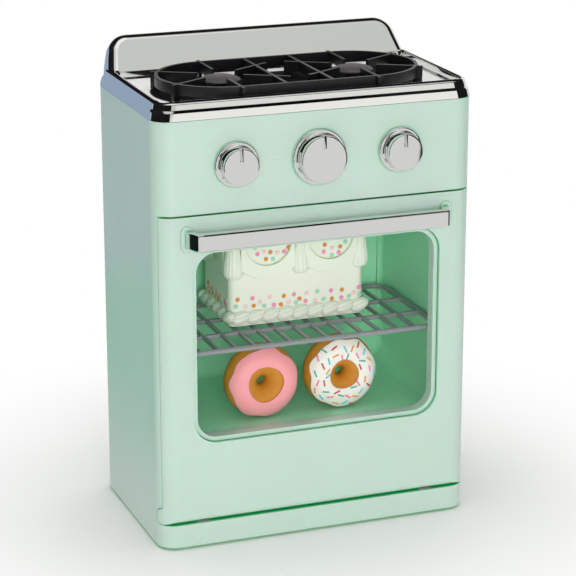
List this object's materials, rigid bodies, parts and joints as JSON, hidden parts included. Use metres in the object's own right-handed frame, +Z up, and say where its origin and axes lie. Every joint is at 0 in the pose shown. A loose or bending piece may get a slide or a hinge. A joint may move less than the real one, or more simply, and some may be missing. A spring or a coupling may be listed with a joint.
{
  "type": "toy oven",
  "caption": "Toy oven for pretend play with a drop-down windowed door, three turning knobs, a chromed hob with grate and backsplash, a rack, a cake and two doughnuts.",
  "frame": {"origin": "centre of the base plate's flat underside", "axes": "+X to the viewer's right, the door faces -Y, +Z up from the floor"},
  "size_m": [0.2206, 0.1456, 0.3215],
  "materials": {
    "mint_plastic": "gloss",
    "mint_inside": "gloss",
    "chromed_plastic": "mirror",
    "black_plastic": "satin",
    "dark_grey_plastic": "satin",
    "grey_plastic": "satin",
    "steel": "satin",
    "magnet": "matt",
    "rack_plastic": "satin",
    "cake_plastic": "satin",
    "dough_plastic": "satin",
    "pink_icing": "gloss",
    "white_icing": "gloss"
  },
  "bodies": {
    "cabinet": {"cabinet_shell": "mint_plastic", "cavity_liner": "mint_inside", "rear_cover": "mint_plastic", "base_plate": "mint_plastic", "catch_magnet": "magnet", "hob_top": "chromed_plastic", "grate": "black_plastic", "burner_base_left": "grey_plastic", "burner_base_right": "grey_plastic", "burner_cap_left": "dark_grey_plastic", "burner_cap_right": "dark_grey_plastic", "knob_bezel_left": "chromed_plastic", "knob_bezel_centre": "chromed_plastic", "knob_bezel_right": "chromed_plastic", "base_screw_1": "steel", "base_screw_2": "steel", "base_screw_3": "steel", "base_screw_4": "steel", "hob_screw_1": "steel", "hob_screw_2": "steel", "hob_screw_3": "steel", "hob_screw_4": "steel", "rear_screw_1": "steel", "rear_screw_2": "steel", "rear_screw_3": "steel", "rear_screw_4": "steel", "rear_screw_5": "steel", "rear_screw_6": "steel"},
    "door": {"door_outer": "mint_plastic", "door_inner": "mint_plastic", "door_handle": "chromed_plastic", "catch_plate": "steel", "hinge_pin_left": "steel", "hinge_pin_right": "steel", "door_screw_1": "steel", "door_screw_2": "steel", "door_screw_3": "steel", "door_screw_4": "steel", "door_screw_5": "steel", "door_screw_6": "steel", "handle_screw_left": "steel", "handle_screw_right": "steel"},
    "knob_left_set": {"knob_left": "chromed_plastic", "knob_retainer_left": "dark_grey_plastic", "knob_screw_left": "steel"},
    "knob_centre_set": {"knob_centre": "chromed_plastic", "knob_retainer_centre": "dark_grey_plastic", "knob_screw_centre": "steel"},
    "knob_right_set": {"knob_right": "chromed_plastic", "knob_retainer_right": "dark_grey_plastic", "knob_screw_right": "steel"},
    "rack": {"rack": "rack_plastic"},
    "cake": {"cake": "cake_plastic"},
    "doughnut_pink": {"doughnut_pink": "dough_plastic", "doughnut_icing_pink": "pink_icing"},
    "doughnut_white": {"doughnut_white": "dough_plastic", "doughnut_icing_white": "white_icing"}
  },
  "joints": [
    {"name": "door_hinge", "type": "hinge", "parent": "cabinet", "child": "door", "pos_m": [0, -0.0605, 0.023], "axis": [1, 0, 0], "range_deg": [0, 90]},
    {"name": "knob_left_turn", "type": "hinge", "parent": "cabinet", "child": "knob_left_set", "pos_m": [-0.0563, -0.066, 0.2592], "axis": [0, -1, 0], "continuous": true},
    {"name": "knob_centre_turn", "type": "hinge", "parent": "cabinet", "child": "knob_centre_set", "pos_m": [0, -0.066, 0.2592], "axis": [0, -1, 0], "continuous": true},
    {"name": "knob_right_turn", "type": "hinge", "parent": "cabinet", "child": "knob_right_set", "pos_m": [0.0563, -0.066, 0.2592], "axis": [0, -1, 0], "continuous": true},
    {"name": "rack_slide", "type": "slide", "parent": "cabinet", "child": "rack", "axis": [0, -1, 0], "range_m": [0, 0.002]},
    {"name": "cake_lift", "type": "slide", "parent": "rack", "child": "cake", "axis": [0, 0, 1], "range_m": [0, 0.008]},
    {"name": "doughnut_pink_slide", "type": "slide", "parent": "cabinet", "child": "doughnut_pink", "axis": [0, -1, 0], "range_m": [-0.07, 0.009]},
    {"name": "doughnut_white_slide", "type": "slide", "parent": "cabinet", "child": "doughnut_white", "axis": [0, -1, 0], "range_m": [-0.07, 0.009]}
  ]
}
